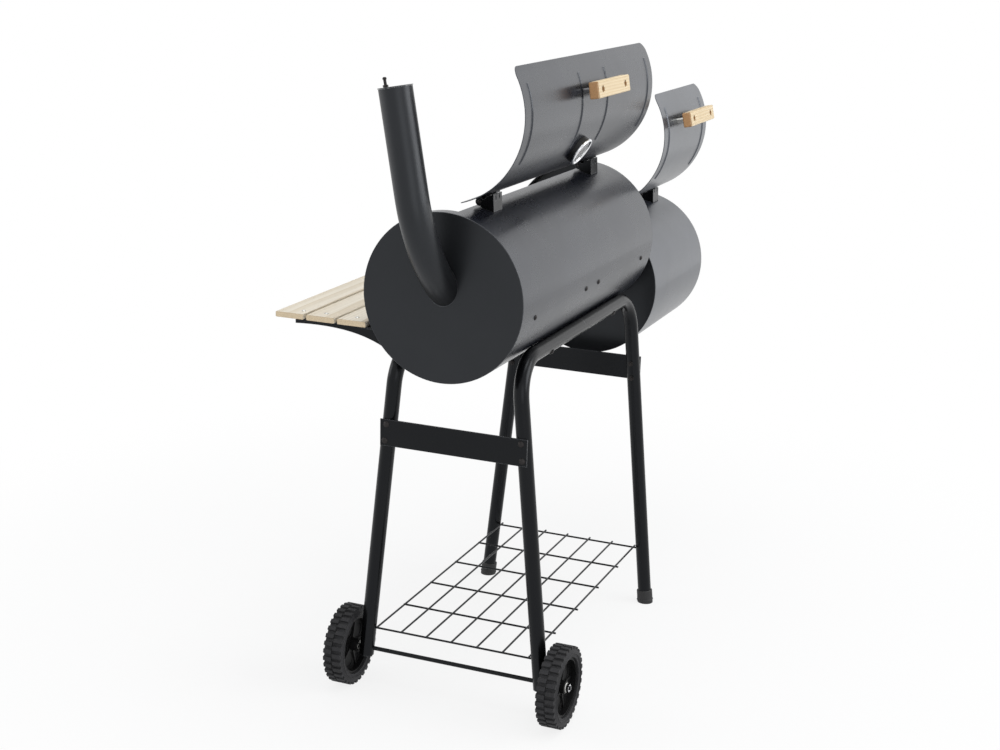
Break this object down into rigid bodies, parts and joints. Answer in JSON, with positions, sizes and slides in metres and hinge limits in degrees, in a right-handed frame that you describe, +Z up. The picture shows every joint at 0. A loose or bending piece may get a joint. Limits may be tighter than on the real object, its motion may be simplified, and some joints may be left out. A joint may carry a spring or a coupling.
{
  "type": "offset smoker",
  "caption": "Barrel offset smoker: hinged-lid cooking chamber, lower side firebox, bent chimney, wooden side shelf and wheeled tube frame with a wire shelf.",
  "frame": {"origin": "on the ground, under the middle of the overall box with both lids open", "axes": "+Z up, +X along the barrels towards the chimney end, +Y towards the rear, where the lids fold back; the wooden side shelf is on -Y"},
  "size_m": [1.238, 0.5668, 1.1832],
  "materials": {
    "barrel_paint": "satin charcoal powder coat",
    "disc_paint": "satin black powder coat",
    "frame_paint": "satin black powder coat",
    "black_fasteners": "blackened steel",
    "plated_steel": "zinc-plated steel",
    "chromed_steel": "polished chrome",
    "grate_steel": "chromed wire",
    "fire_iron": "heat-dulled iron",
    "handle_wood": "oiled pine, pale face and orange end grain",
    "shelf_wood": "pale planed pine",
    "tyre_rubber": "black block-tread rubber",
    "hub_plastic": "moulded black plastic",
    "foot_plastic": "black rubber",
    "case_black": "black enamel",
    "dial_white": "white printed dial",
    "dial_glass": "clear glass",
    "needle_red": "red enamel"
  },
  "bodies": {
    "smoker": {"chamber_shell": "barrel_paint", "chamber_end_chimney": "disc_paint", "chamber_end_firebox": "disc_paint", "smoke_collar": "disc_paint", "collar_bolts": "black_fasteners", "grate_rails": "plated_steel", "rail_screws": "black_fasteners", "firebox_shell": "barrel_paint", "firebox_end_inner": "disc_paint", "firebox_end_outer": "disc_paint", "vent_pivot": "plated_steel", "chimney_pipe": "disc_paint", "cap_bolt": "black_fasteners", "hinge_brackets": "frame_paint", "hinge_pins": "plated_steel", "hinge_screws": "black_fasteners", "leg_front_chimney": "frame_paint", "leg_rear_chimney": "frame_paint", "leg_front_firebox": "frame_paint", "leg_rear_firebox": "frame_paint", "saddle_bolts": "black_fasteners", "cross_plate_chimney": "frame_paint", "cross_plate_firebox": "frame_paint", "cross_plate_bolts": "black_fasteners", "foot_caps": "foot_plastic", "wire_shelf": "frame_paint", "axle": "plated_steel", "axle_nuts": "chromed_steel", "axle_washers": "plated_steel", "shelf_slats": "shelf_wood", "shelf_brackets": "frame_paint", "shelf_screws": "black_fasteners"},
    "main_lid": {"main_lid": "barrel_paint", "main_lid_hinge_leaves": "frame_paint", "main_lid_rivets": "black_fasteners", "main_handle": "handle_wood", "main_standoffs": "plated_steel", "main_handle_screws": "black_fasteners", "thermometer_case": "case_black", "thermometer_bezel": "chromed_steel", "thermometer_dial": "dial_white", "thermometer_glass": "dial_glass", "thermometer_stem": "plated_steel"},
    "thermometer_needle": {"thermometer_needle": "needle_red"},
    "firebox_lid": {"firebox_lid": "barrel_paint", "firebox_lid_hinge_leaves": "frame_paint", "firebox_lid_rivets": "black_fasteners", "firebox_handle": "handle_wood", "firebox_standoffs": "plated_steel", "firebox_handle_screws": "black_fasteners"},
    "chimney_cap": {"chimney_cap": "disc_paint"},
    "air_vent": {"vent_disc": "disc_paint", "vent_knob": "plated_steel"},
    "wheel_front": {"tyre_front": "tyre_rubber", "hub_front": "hub_plastic"},
    "wheel_rear": {"tyre_rear": "tyre_rubber", "hub_rear": "hub_plastic"},
    "cooking_grate_chimney": {"cooking_grate_chimney": "grate_steel"},
    "cooking_grate_firebox": {"cooking_grate_firebox": "grate_steel"},
    "fire_grate": {"fire_grate": "fire_iron"}
  },
  "joints": [
    {"name": "main_lid_hinge", "type": "hinge", "parent": "smoker", "child": "main_lid", "pos_m": [0.1488, 0.07539, 0.94357], "axis": [1, 0, 0], "range_deg": [0, 155]},
    {"name": "firebox_lid_hinge", "type": "hinge", "parent": "smoker", "child": "firebox_lid", "pos_m": [-0.4242, 0.07539, 0.82557], "axis": [1, 0, 0], "range_deg": [0, 158.5]},
    {"name": "thermometer_needle_turn", "type": "hinge", "parent": "main_lid", "child": "thermometer_needle", "pos_m": [0.1668, 0.16588, 1.00915], "axis": [0, -0.829, 0.5592], "range_deg": [0, 270]},
    {"name": "chimney_cap_swivel", "type": "hinge", "parent": "smoker", "child": "chimney_cap", "pos_m": [0.59714, -0.01659, 1.14587], "axis": [-0.0224, -0.1865, 0.9822], "range_deg": [0, 110]},
    {"name": "air_vent_turn", "type": "hinge", "parent": "smoker", "child": "air_vent", "pos_m": [-0.5992, 0.0476, 0.628], "axis": [-1, 0, 0], "range_deg": [0, 45]},
    {"name": "front_wheel_roll", "type": "hinge", "parent": "smoker", "child": "wheel_front", "pos_m": [0.4358, -0.16537, 0.076], "axis": [0, 1, 0], "continuous": true},
    {"name": "rear_wheel_roll", "type": "hinge", "parent": "smoker", "child": "wheel_rear", "pos_m": [0.4358, 0.26057, 0.076], "axis": [0, 1, 0], "continuous": true},
    {"name": "cooking_grate_chimney_lift", "type": "slide", "parent": "smoker", "child": "cooking_grate_chimney", "axis": [0, 0, 1], "range_m": [0, 0.05]},
    {"name": "cooking_grate_firebox_lift", "type": "slide", "parent": "smoker", "child": "cooking_grate_firebox", "axis": [0, 0, 1], "range_m": [0, 0.05]},
    {"name": "fire_grate_lift", "type": "slide", "parent": "smoker", "child": "fire_grate", "axis": [0, 0, 1], "range_m": [0, 0.05]}
  ]
}
